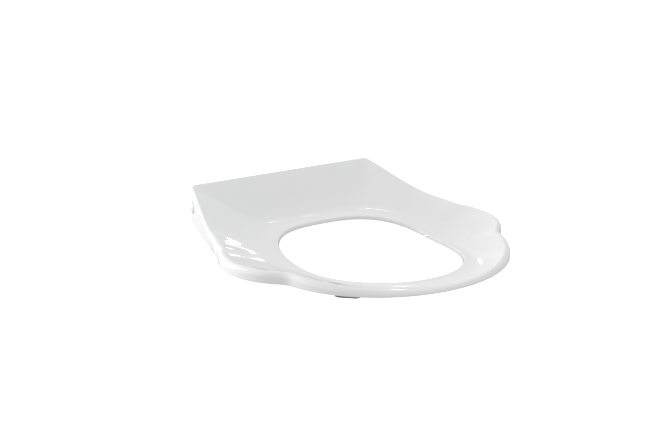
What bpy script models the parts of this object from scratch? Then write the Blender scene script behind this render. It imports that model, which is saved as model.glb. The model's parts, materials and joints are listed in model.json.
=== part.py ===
"""Child's toilet seat ring with hand-hold lobes, buffers and a top-fixing hinge set.

Metres, +Z up. The origin is on the pan's top face, midway between the two hinge fixings.
The hinge axis runs along X at HINGE_HEIGHT, the seat's front points to -Y, and left is -X.
"""
import math

import bmesh
import bpy
import numpy as np
from mathutils import Matrix, Vector

COLLECTION = "child_toilet_seat"
GAP = 0.0003                 # between two pieces that touch on the real seat

# ---- seat ring, plan view ----
BACK_EDGE_Y = 0.015          # straight back edge, behind the hinge axis
DECK_HALF_WIDTH = 0.1240     # at the back edge
DECK_FLARE = 0.270           # how much each side widens per metre towards the front
DECK_FRONT_Y = -0.1189       # the flared deck ends here and the lobes take over
DECK_FRONT_ROUND = 0.012
CORNER_ROUND = 0.005
LOBE_X = 0.0978
LOBE_Y = -0.1712
LOBE_RADIUS = 0.0768
WAIST_ROUND = 0.0166
FRONT_Y = -0.2128            # centre of the front ring's ellipse
FRONT_HALF_WIDTH = 0.1414
FRONT_HALF_LENGTH = 0.1276
NOTCH_ROUND = 0.0072
RING_CENTRE_Y = -0.175       # every section of the ring is cut through this point
OPENING_Y = -0.1906
OPENING_HALF_WIDTH = 0.0900
OPENING_HALF_LENGTH = 0.1098
OPENING_EGG = 0.02           # how much wider the opening is towards the back
OPENING_POWER_BACK = 2.77    # superellipse powers: 2 is an ellipse, more is squarer
OPENING_POWER_FRONT = 2.08

# ---- seat ring, heights above the pan, as (y, height) from front to back ----
SKIRT_FOOT = 0.013
CREST = ((-0.3004, 0.0148), (-0.1906, 0.0081), (-0.0809, 0.0178))
EDGE = ((-0.344, 0.0172), (-0.235, 0.0258), (-0.180, 0.0258), (-0.090, 0.0297), (0.015, 0.0568))
LIP_DROP = 0.0044            # from the crest round the opening to the foot of the lip
DECK_SAG = 0.0012
CORNER_EASE = 0.55           # radians over which the back corners fade out towards the opening
ROLL_INNER = 0.0022          # plan width of the roll down into the opening
ROLL_FRONT = 0.0064          # roll of the outer edge on the lobes and the front
ROLL_DECK = 0.003            # roll of the outer edge on the deck
ROLL_CHANGE_Y = (-0.060, -0.120)
WALL = 0.0032
STATIONS = 100
TURN_WEIGHT = 0.030          # metres of outline that one radian of turn counts as

# ---- hinge, with its fixings ----
HINGE_HEIGHT = 0.033
FIXING_X = 0.0775            # half of the distance between the pan's fixing holes
NOTCH_HALF_WIDTH = 0.0175    # openings in the back wall, which let the seat swing up past the posts
NOTCH_TOP = 0.0475
NOTCH_FRONT_Y = 0.0095
ROD_RADIUS = 0.004
ROD_HALF_LENGTH = 0.1165
ROD_BORE = ROD_RADIUS + GAP
EYE_RADIUS = 0.009
EYE_HALF_LENGTH = 0.009
BUSH_RADIUS = 0.0060
BUSH_LENGTH = 0.0085
BUSH_FLANGE_RADIUS = 0.0085
BUSH_FLANGE = 0.0012
LUG_THICKNESS = 0.006
LUG_RADIUS = 0.008
SIDE_BOSS_RADIUS = 0.0095
CAP_RADIUS = 0.0065
CAP_SEAT_X = 0.1190          # inner face of the end caps' counterbores
CAP_END_X = 0.1308
GASKET_RADIUS = 0.0160
GASKET_THICKNESS = 0.0017
GASKET_HOLE = 0.0068         # lets the expanding plug up to the base plate
BASE_RADIUS = 0.0158
BASE_THICKNESS = 0.0030
SPIGOT_RADIUS = 0.0060
SPIGOT_TOP = 0.0130
POST_RADIUS = 0.0085
POST_TOP = HINGE_HEIGHT - 0.0015
FIXING_SHANK_RADIUS = 0.0030
FIXING_HEAD_RADIUS = 0.0045
FIXING_HEAD_SEAT = 0.0085
FIXING_HEAD_TOP = 0.0122
FIXING_TIP = -0.0132
PLUG_RADIUS = 0.0062
PLUG_LENGTH = 0.0138
NUT_RADIUS = 0.0046
NUT_TOP = -0.0068
NUT_LENGTH = 0.0060
GRUB_RADIUS = 0.0022
GRUB_HEIGHT = 0.0090

# ---- buffers under the ring, as (x, y, turn in degrees), right-hand side ----
BUFFERS = {"front": (0.0838, -0.2686, 42.0), "rear": (0.112, -0.100, 105.0)}
BUFFER_LENGTH = 0.030
BUFFER_WIDTH = 0.014
BUFFER_TOP = {"front": 0.0076, "rear": 0.0100}
SCREW_COVER = 0.0020         # plastic left over the tip of a buffer screw
SCREW_SHANK_RADIUS = 0.0018
SCREW_HEAD_RADIUS = 0.0036
SCREW_HEAD_SEAT = 0.0050
SCREW_HEAD_HEIGHT = 0.0022

# ---- stiffening ribs under the ring, as angles from +X about the ring centre ----
RIB_ANGLES = (10.0, -15.0, -38.0)
RIB_THICKNESS = 0.0024
RIB_FOOT_LIFT = 0.0015
RIB_LEAST = 0.0020            # the ribs stop where they would be lower than this


def clear_scene():
    for obj in list(bpy.data.objects):
        bpy.data.objects.remove(obj)


def new_collection(name):
    collection = bpy.data.collections.new(name)
    bpy.context.scene.collection.children.link(collection)
    return collection


def material(name, colour, roughness, metallic=0.0):
    mat = bpy.data.materials.new(name)
    mat.use_nodes = True
    shader = mat.node_tree.nodes["Principled BSDF"]
    shader.inputs["Base Color"].default_value = (*colour, 1.0)
    shader.inputs["Roughness"].default_value = roughness
    shader.inputs["Metallic"].default_value = metallic
    mat.diffuse_color = (*colour, 1.0)
    return mat


def add_object(name, mesh, mat=None, parent=None):
    """A new object in the part's collection, kept in place when it is parented."""
    obj = bpy.data.objects.new(name, mesh)
    parts.objects.link(obj)
    if mat:
        mesh.materials.append(mat)
    if parent:
        obj.parent = parent
        obj.matrix_parent_inverse = parent.matrix_world.inverted()
    return obj


def to_mesh(name, bm):
    bmesh.ops.recalc_face_normals(bm, faces=bm.faces)
    mesh = bpy.data.meshes.new(name)
    bm.to_mesh(mesh)
    bm.free()
    return mesh


def as_cutter(obj):
    parts.objects.unlink(obj)
    cutters.objects.link(obj)
    obj.hide_render = True
    obj.display_type = "WIRE"
    return obj


def combine(obj, other, operation):
    """A Boolean of one object with another, which then becomes a cutter."""
    modifier = obj.modifiers.new(other.name, "BOOLEAN")
    modifier.operation = operation
    modifier.solver = "EXACT"
    modifier.object = as_cutter(other)
    return obj


def smooth_shade(obj, angle=35.0):
    obj.data.shade_smooth()
    obj.data.set_sharp_from_angle(angle=math.radians(angle))
    return obj


def turned(name, profile, steps=24, mat=None, parent=None, place=(0, 0, 0), along="Z"):
    """A solid turned from (radius, height) points, given down its outer side, about Z or X."""
    mesh = bpy.data.meshes.new(name)
    edges = [(i, i + 1) for i in range(len(profile) - 1)]
    if profile[0][0] > 0 or profile[-1][0] > 0:
        edges.append((len(profile) - 1, 0))
    mesh.from_pydata([(radius, 0, height) for radius, height in profile], edges, [])
    obj = add_object(name, mesh, mat)
    screw = obj.modifiers.new("turn", "SCREW")
    screw.steps = steps
    screw.render_steps = steps
    screw.use_merge_vertices = True
    screw.merge_threshold = 0.00001
    turn = Matrix.Rotation(math.radians(90), 4, "Y") if along == "X" else Matrix()
    obj.matrix_world = Matrix.Translation(place) @ turn
    if parent:
        obj.parent = parent
        obj.matrix_parent_inverse = parent.matrix_world.inverted()
    return obj


def rod(name, radius, low, high, **options):
    """A plain turned cylinder between two heights, with small chamfers."""
    edge = min(radius, high - low) * 0.12
    profile = [(0, high), (radius - edge, high), (radius, high - edge)]
    profile += [(radius, low + edge), (radius - edge, low), (0, low)]
    return turned(name, profile, **options)


def bore(name, radius, low, high, **options):
    """A cylinder with plain ends, for cutting."""
    return turned(name, [(0, high), (radius, high), (radius, low), (0, low)], **options)


def tube(name, outer, inner, low, high, **options):
    edge = min(outer - inner, high - low) * 0.15
    profile = [(outer - edge, high), (outer, high - edge), (outer, low + edge)]
    profile += [(outer - edge, low), (inner, low), (inner, high)]
    return turned(name, profile, **options)


def prism(name, outline, thickness, mat=None):
    """A flat outline of (x, y) points made into a plate centred on z = 0, as a mesh."""
    bm = bmesh.new()
    verts = [bm.verts.new((x, y, -thickness / 2)) for x, y in outline]
    face = bm.faces.new(verts)
    raised = bmesh.ops.extrude_face_region(bm, geom=[face])
    moved = [v for v in raised["geom"] if isinstance(v, bmesh.types.BMVert)]
    bmesh.ops.translate(bm, verts=moved, vec=(0, 0, thickness))
    return add_object(name, to_mesh(name, bm), mat)


def to_triangles(obj):
    bm = bmesh.new()
    bm.from_mesh(obj.data)
    bmesh.ops.triangulate(bm, faces=bm.faces)
    bm.to_mesh(obj.data)
    bm.free()


def box(name, low, high):
    bm = bmesh.new()
    bmesh.ops.create_cube(bm, size=1.0)
    low, high = Vector(low), Vector(high)
    bmesh.ops.scale(bm, verts=bm.verts, vec=high - low)
    bmesh.ops.translate(bm, verts=bm.verts, vec=(low + high) / 2)
    return add_object(name, to_mesh(name, bm))


# ---------------------------------------------------------------- seat ring

def smooth_min(a, b, size):
    blend = np.maximum(size - np.abs(a - b), 0) / size
    return np.minimum(a, b) - blend * blend * size / 4


def smooth_max(a, b, size):
    return -smooth_min(-a, -b, size)


def outline_field(x, y):
    """Below zero inside the seat's outline: a flared deck, two lobes and an ellipse, blended."""
    slope = 1 / math.hypot(1, DECK_FLARE)
    side = (np.abs(x) - DECK_HALF_WIDTH - DECK_FLARE * (BACK_EDGE_Y - y)) * slope
    deck = smooth_max(y - BACK_EDGE_Y, side, CORNER_ROUND)
    deck = smooth_max(deck, DECK_FRONT_Y - y, DECK_FRONT_ROUND)
    lobe = np.hypot(np.abs(x) - LOBE_X, y - LOBE_Y) - LOBE_RADIUS
    front = np.hypot(x / FRONT_HALF_WIDTH, (y - FRONT_Y) / FRONT_HALF_LENGTH) - 1
    field = smooth_min(deck, lobe, WAIST_ROUND)
    return smooth_min(field, front * FRONT_HALF_LENGTH, NOTCH_ROUND)


def opening_field(x, y):
    """Below zero inside the opening: an egg-shaped superellipse."""
    along = (y - OPENING_Y) / OPENING_HALF_LENGTH
    half_width = OPENING_HALF_WIDTH * (1 + OPENING_EGG * np.clip(along, -1.2, 1.2))
    power = np.where(along > 0, OPENING_POWER_BACK, OPENING_POWER_FRONT)
    return np.abs(x / half_width) ** power + np.abs(along) ** power - 1


def reach(field, angles, low=0.01, high=0.4, rounds=40):
    """How far a field's zero line lies from the ring centre at each angle, by halving."""
    low = np.full(angles.shape, low)
    high = np.full(angles.shape, high)
    for _ in range(rounds):
        middle = (low + high) / 2
        inside = field(middle * np.cos(angles), RING_CENTRE_Y + middle * np.sin(angles)) < 0
        low = np.where(inside, middle, low)
        high = np.where(inside, high, middle)
    return (low + high) / 2


def station_angles(count):
    """Angles about the ring centre, closer together where the outline turns."""
    fine = np.linspace(0, 2 * np.pi, 4001) - np.pi / 2
    radius = reach(outline_field, fine)
    steps = np.diff(np.stack([radius * np.cos(fine), radius * np.sin(fine)]), axis=1)
    heading = np.unwrap(np.arctan2(steps[1], steps[0]))
    turn = np.abs(np.diff(heading, prepend=heading[0]))
    travelled = np.concatenate([[0], np.cumsum(np.hypot(*steps) + TURN_WEIGHT * turn)])
    places = np.linspace(0, travelled[-1], count, endpoint=False)
    return np.interp(places, travelled, fine)


def through(knots, at):
    """A smooth curve through (place, height) knots that never overshoots them."""
    places, heights = (np.array(values) for values in zip(*knots))
    gaps = np.diff(places)
    slopes = np.diff(heights) / gaps
    total = np.where(slopes[:-1] * slopes[1:] > 0, slopes[:-1] + slopes[1:], np.inf)
    inner = 2 * slopes[:-1] * slopes[1:] / total
    tangents = np.concatenate([slopes[:1], inner, slopes[-1:]])
    at = np.clip(at, places[0], places[-1])
    i = np.clip(np.searchsorted(places, at) - 1, 0, len(gaps) - 1)
    t = (at - places[i]) / gaps[i]
    rise = heights[i] + (heights[i + 1] - heights[i]) * t * t * (3 - 2 * t)
    bend = tangents[i] * t * (1 - t) ** 2 - tangents[i + 1] * t * t * (1 - t)
    return rise + gaps[i] * bend


def smooth_step(t):
    t = np.clip(t, 0, 1)
    return t * t * (3 - 2 * t)


def ring_measures(angles):
    """Where each section starts and ends, and the heights that it runs through."""
    lip = reach(opening_field, angles)
    edge = reach(outline_field, angles)
    lip_y = RING_CENTRE_Y + lip * np.sin(angles)
    edge_y = RING_CENTRE_Y + edge * np.sin(angles)
    start, end = ROLL_CHANGE_Y
    roll = ROLL_DECK + (ROLL_FRONT - ROLL_DECK) * smooth_step((edge_y - start) / (end - start))
    return {"lip": lip, "width": edge - lip, "crest": through(CREST, lip_y),
            "edge": through(EDGE, edge_y), "roll": roll}


def averaged(values, spread):
    """Values at even angles, each averaged with its neighbours within a spread in radians."""
    count = max(int(spread * len(values) / (2 * math.pi)), 1)
    weights = np.hanning(2 * count + 3)[1:-1]
    around = np.concatenate([values[-count:], values, values[:count]])
    return np.convolve(around, weights / weights.sum(), "valid")


def eased(angles, m, s):
    """How far across the deck a point counts as, and the height it climbs to, once the corners fade."""
    even = np.linspace(0, 2 * np.pi, 720, endpoint=False)
    whole = ring_measures(even)
    spread = CORNER_EASE * (1 - s)
    width = np.interp(angles, even, averaged(whole["width"], spread), period=2 * np.pi)
    edge = np.interp(angles, even, averaged(whole["edge"], spread), period=2 * np.pi)
    return s * (1 + (1 - s) * (m["width"] / width - 1)), m["edge"] + (1 - s) * (edge - m["edge"])


def skin_rows(angles, m, inset, inner_steps, deck_steps, outer_steps):
    """Rows of (distance from the lip, height) over one skin, from the lip's foot to the skirt's.

    The outer skin has no inset. The underside is the same shape moved in by the wall."""
    crest = m["crest"] - inset
    edge = m["edge"] - inset
    width = m["width"] - inset
    foot = m["crest"] - LIP_DROP
    roll_in = max(ROLL_INNER - inset, 0.001)
    roll_out = np.maximum(m["roll"] - inset, 0.001)
    rows = []
    for a in np.linspace(0, np.pi / 2, inner_steps):
        rows.append((inset + roll_in * (1 - np.cos(a)), foot + (crest - foot) * np.sin(a)))
    start = inset + roll_in
    run = width - roll_out - start
    for k in range(1, deck_steps):
        s = k / deck_steps
        across, rim = eased(angles, m, s)
        climb = across * across * (2 - across)
        sag = DECK_SAG * 4 * s * (1 - s)
        rows.append((start + run * s, crest + (rim - inset - crest) * climb - sag))
    drop = np.minimum(roll_out, edge - SKIRT_FOOT - 0.0003)
    for a in np.linspace(0, np.pi / 2, outer_steps):
        rows.append((width - roll_out * (1 - np.sin(a)), edge - drop * (1 - np.cos(a))))
    rows.append((width, SKIRT_FOOT))
    return rows


def ring_points(angles, m, rows):
    """Rows of (distance, height) turned into points round the ring."""
    points = []
    for distance, height in rows:
        radius = m["lip"] + distance
        x = radius * np.cos(angles)
        y = RING_CENTRE_Y + radius * np.sin(angles)
        points.append(np.stack([x, y, height + 0 * x], axis=1))
    return np.array(points)


def ring_shell(name):
    """The moulded shell: outer skin and underside, lofted round the opening and closed at both feet."""
    angles = station_angles(STATIONS)
    m = ring_measures(angles)
    over = skin_rows(angles, m, 0.0, 4, 6, 4)
    under = skin_rows(angles, m, WALL, 2, 4, 2)
    grid = ring_points(angles, m, over + under[::-1])
    bm = bmesh.new()
    rows = [[bm.verts.new(point) for point in row] for row in grid]
    for k, row in enumerate(rows):
        following = rows[(k + 1) % len(rows)]
        for i in range(STATIONS):
            j = (i + 1) % STATIONS
            bm.faces.new((row[i], row[j], following[j], following[i]))
    bmesh.ops.triangulate(bm, faces=bm.faces)
    return add_object(name, to_mesh(name, bm), white)


def rib(index, angle):
    """A stiffening rib across the ring's hollow underside at one angle."""
    angles = np.array([math.radians(angle)])
    m = ring_measures(angles)
    rows = skin_rows(angles, m, WALL * 0.6, 2, 8, 2)[:-1]
    lip = float(m["lip"][0])
    top = [(lip + float(np.ravel(d)[0]), float(np.ravel(h)[0])) for d, h in rows[2:-1]]
    low = SKIRT_FOOT + RIB_FOOT_LIFT
    outline = [(along, high) for along, high in top if high > low + RIB_LEAST]
    outline += [(outline[-1][0], low), (outline[0][0], low)]
    plate = prism(f"rib_{index}", outline, RIB_THICKNESS)
    stand = Matrix.Rotation(math.radians(90), 4, "X")
    turn = Matrix.Rotation(math.radians(angle), 4, "Z")
    plate.matrix_world = Matrix.Translation((0, RING_CENTRE_Y, 0)) @ turn @ stand
    return plate


def lug_outline(x):
    """Side view of a hinge lug, as (y, z): round under the rod, straight up into the deck."""
    arc = [math.radians(a) for a in range(180, 361, 20)]
    points = [(LUG_RADIUS * math.cos(a), HINGE_HEIGHT + LUG_RADIUS * math.sin(a)) for a in arc]
    tops = [(y, deck_height(x, y) - WALL / 2) for y in (LUG_RADIUS, -LUG_RADIUS)]
    return points + tops


def hinge_lug(index, x):
    plate = prism(f"lug_{index}", lug_outline(x), LUG_THICKNESS)
    upright = Matrix(((0, 0, 1), (1, 0, 0), (0, 1, 0))).to_4x4()
    plate.matrix_world = Matrix.Translation((x, 0, 0)) @ upright
    return plate


def lug_places():
    reach_out = EYE_HALF_LENGTH + BUSH_FLANGE + 3 * GAP + LUG_THICKNESS / 2
    return [side * (FIXING_X + way * reach_out) for side in (-1, 1) for way in (-1, 1)]


def deck_height(x, y):
    """Height of the ring's top face over a point of the plan."""
    angle = np.array([math.atan2(y - RING_CENTRE_Y, x)])
    m = ring_measures(angle)
    distance = math.hypot(x, y - RING_CENTRE_Y) - float(m["lip"][0])
    rows = skin_rows(angle, m, 0.0, 4, 12, 4)
    along = [float(np.ravel(d)[0]) for d, _ in rows]
    high = [float(np.ravel(h)[0]) for _, h in rows]
    return float(np.interp(distance, along[3:-1], high[3:-1]))


def stadium(length, width, steps=6):
    """A slot-shaped outline along X, as (x, y) points."""
    radius = width / 2
    half = length / 2 - radius
    points = []
    for centre, start in ((half, -90), (-half, 90)):
        for k in range(steps + 1):
            a = math.radians(start + 180 * k / steps)
            points.append((centre + radius * math.cos(a), radius * math.sin(a)))
    return points


def buffer_frames():
    """Each buffer's name, row and place, mirrored to the left side."""
    for row, (x, y, turn) in BUFFERS.items():
        for side, word in ((-1, "left"), (1, "right")):
            place = Matrix.Translation((side * x, y, 0))
            yield f"{row}_{word}", row, place @ Matrix.Rotation(math.radians(side * turn), 4, "Z")


def build_ring(parent):
    axis = (0, 0, HINGE_HEIGHT)
    ring = ring_shell("seat_ring")
    for side in (-1, 1):
        low = (side * FIXING_X - NOTCH_HALF_WIDTH, NOTCH_FRONT_Y, 0)
        high = (side * FIXING_X + NOTCH_HALF_WIDTH, BACK_EDGE_Y + 0.006, NOTCH_TOP)
        combine(ring, box(f"post_notch_{side}", low, high), "DIFFERENCE")
    for name, row, place in buffer_frames():
        add_buffer_boss(ring, name, row, place)
    for index, angle in enumerate(RIB_ANGLES):
        combine(ring, rib(2 * index, angle), "UNION")
        combine(ring, rib(2 * index + 1, 180 - angle), "UNION")
    for index, x in enumerate(lug_places()):
        combine(ring, hinge_lug(index, x), "UNION")
    for side in (-1, 1):
        ends = sorted((side * 0.108, side * (DECK_HALF_WIDTH + 0.002)))
        boss = bore(f"side_boss_{side}", SIDE_BOSS_RADIUS, ends[0], ends[1], along="X", place=axis)
        combine(ring, boss, "UNION")
    for side in (-1, 1):
        ends = sorted((side * CAP_SEAT_X, side * 0.15))
        seat = bore(f"cap_seat_{side}", CAP_RADIUS + GAP, ends[0], ends[1], steps=28, along="X", place=axis)
        combine(ring, seat, "DIFFERENCE")
    combine(ring, bore("rod_hole", ROD_BORE, -0.15, 0.15, steps=20, along="X", place=axis), "DIFFERENCE")
    ring.parent = parent
    ring.matrix_parent_inverse = parent.matrix_world.inverted()
    return smooth_shade(ring)


def screw_tip(place):
    """How high a buffer's screw reaches without showing through the deck."""
    return deck_height(place.translation.x, place.translation.y) - SCREW_COVER - GAP


def add_buffer_boss(ring, name, row, place):
    """A pedestal under the deck for a buffer, with a blind hole for its screw."""
    foot = BUFFER_TOP[row] + GAP
    boss = prism(f"boss_{name}", stadium(BUFFER_LENGTH, BUFFER_WIDTH), 0.001)
    for vertex in boss.data.vertices:
        over = place @ vertex.co
        raised = vertex.co.z > 0
        vertex.co.z = deck_height(over.x, over.y) - WALL / 2 if raised else foot
    to_triangles(boss)
    boss.matrix_world = place
    combine(ring, boss, "UNION")
    end = screw_tip(place) + GAP
    hole = bore(f"screw_hole_{name}", SCREW_SHANK_RADIUS + GAP, foot - 0.002, end, steps=12)
    hole.matrix_world = place
    combine(ring, hole, "DIFFERENCE")


# ---------------------------------------------------------------- pieces on the seat

def build_rod(parent):
    place = (0, 0, HINGE_HEIGHT)
    rod("hinge_rod", ROD_RADIUS, -ROD_HALF_LENGTH, ROD_HALF_LENGTH, mat=steel, parent=parent, place=place, along="X")
    for side, word in ((-1, "left"), (1, "right")):
        start = CAP_SEAT_X + GAP
        dome = [(0, CAP_END_X), (CAP_RADIUS * 0.55, CAP_END_X - 0.0003), (CAP_RADIUS * 0.85, CAP_END_X - 0.0010)]
        profile = dome + [(CAP_RADIUS, CAP_END_X - 0.0024), (CAP_RADIUS, start), (0, start)]
        if side < 0:
            profile = [(radius, -height) for radius, height in reversed(profile)]
        cap = turned(f"rod_cap_{word}", profile, mat=cap_grey, parent=parent, place=place, along="X")
        smooth_shade(cap)


def build_buffer(name, row, place, parent):
    top = BUFFER_TOP[row]
    pad = prism(f"buffer_{name}", stadium(BUFFER_LENGTH, BUFFER_WIDTH, 8), top, rubber_grey)
    pad.matrix_world = place @ Matrix.Translation((0, 0, top / 2))
    round_edge = pad.modifiers.new("round", "BEVEL")
    round_edge.width = 0.0015
    round_edge.segments = 2
    head = bore(f"head_room_{name}", SCREW_HEAD_RADIUS + GAP, -0.001, SCREW_HEAD_SEAT, steps=16)
    shank = bore(f"shank_room_{name}", SCREW_SHANK_RADIUS + GAP, 0, top + 0.001, steps=12)
    for cutter in (head, shank):
        cutter.matrix_world = place
        combine(pad, cutter, "DIFFERENCE")
    pad.parent = parent
    pad.matrix_parent_inverse = parent.matrix_world.inverted()
    smooth_shade(pad)
    seat = SCREW_HEAD_SEAT - GAP
    tip = screw_tip(place)
    low = seat - SCREW_HEAD_HEIGHT
    profile = [(0, tip), (SCREW_SHANK_RADIUS * 0.5, tip), (SCREW_SHANK_RADIUS, tip - 0.001)]
    profile += [(SCREW_SHANK_RADIUS, seat), (SCREW_HEAD_RADIUS, seat), (SCREW_HEAD_RADIUS, seat - 0.0009)]
    profile += [(SCREW_HEAD_RADIUS * 0.7, low), (0, low)]
    screw = turned(f"buffer_screw_{name}", profile, steps=16, mat=steel)
    screw.matrix_world = place
    screw.parent = parent
    screw.matrix_parent_inverse = parent.matrix_world.inverted()
    smooth_shade(screw)


# ---------------------------------------------------------------- hinge pieces on the pan

def build_gasket(word, x, parent):
    tube(f"gasket_{word}", GASKET_RADIUS, GASKET_HOLE, 0, GASKET_THICKNESS, mat=rubber_grey,
         parent=parent, place=(x, 0, 0), steps=32)


def build_base(word, x, parent):
    """Round base plate with a spigot for the post and a counterbore for the fixing screw."""
    low = GASKET_THICKNESS + GAP
    top = low + BASE_THICKNESS
    hole = FIXING_SHANK_RADIUS + GAP
    well = FIXING_HEAD_RADIUS + GAP
    profile = [(SPIGOT_RADIUS - 0.0004, SPIGOT_TOP), (SPIGOT_RADIUS, SPIGOT_TOP - 0.0004), (SPIGOT_RADIUS, top)]
    profile += [(BASE_RADIUS - 0.0012, top), (BASE_RADIUS, top - 0.0012), (BASE_RADIUS, low)]
    profile += [(hole, low), (hole, FIXING_HEAD_SEAT), (well, FIXING_HEAD_SEAT), (well, SPIGOT_TOP)]
    smooth_shade(turned(f"hinge_base_{word}", profile, mat=steel, parent=parent, place=(x, 0, 0), steps=32))
    return top


def build_post(word, x, foot, parent):
    """Pillar that slips over the base's spigot, with the eye for the rod's bushes at its top."""
    low = foot + GAP
    socket = SPIGOT_RADIUS + GAP
    socket_top = SPIGOT_TOP + GAP
    profile = [(0, POST_TOP), (POST_RADIUS - 0.0015, POST_TOP), (POST_RADIUS - 0.0015, 0.022)]
    profile += [(POST_RADIUS, 0.018), (POST_RADIUS, low), (socket, low), (socket, socket_top), (0, socket_top)]
    post = turned(f"hinge_post_{word}", profile, mat=steel, place=(x, 0, 0))
    place = (x, 0, HINGE_HEIGHT)
    half = EYE_HALF_LENGTH
    combine(post, rod(f"eye_{word}", EYE_RADIUS, -half, half, along="X", place=place, steps=28), "UNION")
    hole = bore(f"eye_hole_{word}", BUSH_RADIUS + GAP, -half - 0.001, half + 0.001, along="X", place=place)
    combine(post, hole, "DIFFERENCE")
    grub_hole = bore(f"grub_hole_{word}", GRUB_RADIUS + GAP, 0.004, 0.012, steps=12)
    point_back = Matrix.Rotation(math.radians(-90), 4, "X")
    grub_hole.matrix_world = Matrix.Translation((x, 0, GRUB_HEIGHT)) @ point_back
    combine(post, grub_hole, "DIFFERENCE")
    post.parent = parent
    post.matrix_parent_inverse = parent.matrix_world.inverted()
    smooth_shade(post)
    profile = [(0, 0.0084), (GRUB_RADIUS, 0.0084), (GRUB_RADIUS, 0.0070), (GRUB_RADIUS * 0.6, 0.0064), (0, 0.0064)]
    grub = turned(f"grub_screw_{word}", profile, steps=12, mat=steel)
    grub.matrix_world = Matrix.Translation((x, 0, GRUB_HEIGHT)) @ point_back
    grub.parent = parent
    grub.matrix_parent_inverse = parent.matrix_world.inverted()


def build_fixing(word, x, parent):
    """Fixing screw, the rubber plug that it expands in the pan's hole, and the plug's nut."""
    seat = FIXING_HEAD_SEAT + GAP
    radius = FIXING_SHANK_RADIUS
    head = FIXING_HEAD_RADIUS
    top = FIXING_HEAD_TOP
    profile = [(0, top - 0.002), (0.0018, top - 0.002), (0.0018, top), (head - 0.0004, top)]
    profile += [(head, top - 0.0004), (head, seat), (radius, seat), (radius, FIXING_TIP + 0.001)]
    profile += [(radius - 0.001, FIXING_TIP), (0, FIXING_TIP)]
    place = (x, 0, 0)
    smooth_shade(turned(f"fixing_screw_{word}", profile, steps=16, mat=steel, parent=parent, place=place))
    inner = radius + GAP
    nut_room = NUT_RADIUS + GAP
    high = GASKET_THICKNESS
    low = -PLUG_LENGTH
    ceiling = NUT_TOP + GAP
    profile = [(PLUG_RADIUS, high), (PLUG_RADIUS, ceiling), (PLUG_RADIUS + 0.0003, low + 0.001)]
    profile += [(PLUG_RADIUS, low), (nut_room, low), (nut_room, ceiling), (inner, ceiling), (inner, high)]
    smooth_shade(turned(f"expansion_plug_{word}", profile, mat=rubber_grey, parent=parent, place=place))
    tube(f"plug_nut_{word}", NUT_RADIUS, inner, NUT_TOP - NUT_LENGTH, NUT_TOP, steps=16, mat=brass,
         parent=parent, place=place)


def build_bushes(word, x, parent):
    """A flanged bush in each end of the post's eye, for the rod to turn in."""
    for way, end in ((-1, "a"), (1, "b")):
        face = EYE_HALF_LENGTH + GAP
        outer = face + BUSH_FLANGE
        inner = outer - BUSH_LENGTH
        bore_radius = ROD_RADIUS + GAP
        profile = [(BUSH_FLANGE_RADIUS, outer), (BUSH_FLANGE_RADIUS, face), (BUSH_RADIUS, face)]
        profile += [(BUSH_RADIUS, inner), (bore_radius, inner), (bore_radius, outer)]
        if way < 0:
            profile = [(radius, -height) for radius, height in reversed(profile)]
        bush = turned(f"rod_bush_{word}_{end}", profile, mat=nylon, parent=parent, place=(x, 0, HINGE_HEIGHT),
                      along="X", steps=20)
        smooth_shade(bush)


clear_scene()
parts = new_collection(COLLECTION)
cutters = new_collection("cutters")
white = material("gloss_white_plastic", (0.90, 0.90, 0.89), 0.12)
cap_grey = material("light_grey_plastic", (0.72, 0.72, 0.72), 0.35)
rubber_grey = material("grey_elastomer", (0.26, 0.26, 0.27), 0.60)
steel = material("stainless_steel", (0.66, 0.66, 0.67), 0.28, 1.0)
nylon = material("nylon", (0.82, 0.81, 0.77), 0.45)
brass = material("brass", (0.75, 0.58, 0.28), 0.30, 1.0)

pan_fixing = bpy.data.objects.new("pan_fixing", None)
parts.objects.link(pan_fixing)
seat_pivot = bpy.data.objects.new("seat_pivot", None)
seat_pivot.location = (0, 0, HINGE_HEIGHT)
parts.objects.link(seat_pivot)
bpy.context.view_layer.update()

build_ring(seat_pivot)
build_rod(seat_pivot)
for buffer_name, buffer_row, buffer_place in buffer_frames():
    build_buffer(buffer_name, buffer_row, buffer_place, seat_pivot)
for side_word, fixing_x in (("left", -FIXING_X), ("right", FIXING_X)):
    build_gasket(side_word, fixing_x, pan_fixing)
    base_top = build_base(side_word, fixing_x, pan_fixing)
    build_post(side_word, fixing_x, base_top, pan_fixing)
    build_fixing(side_word, fixing_x, pan_fixing)
    build_bushes(side_word, fixing_x, pan_fixing)
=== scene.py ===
import json
import math

import bmesh
import bpy
import numpy as np
from mathutils import Matrix, Vector


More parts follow.
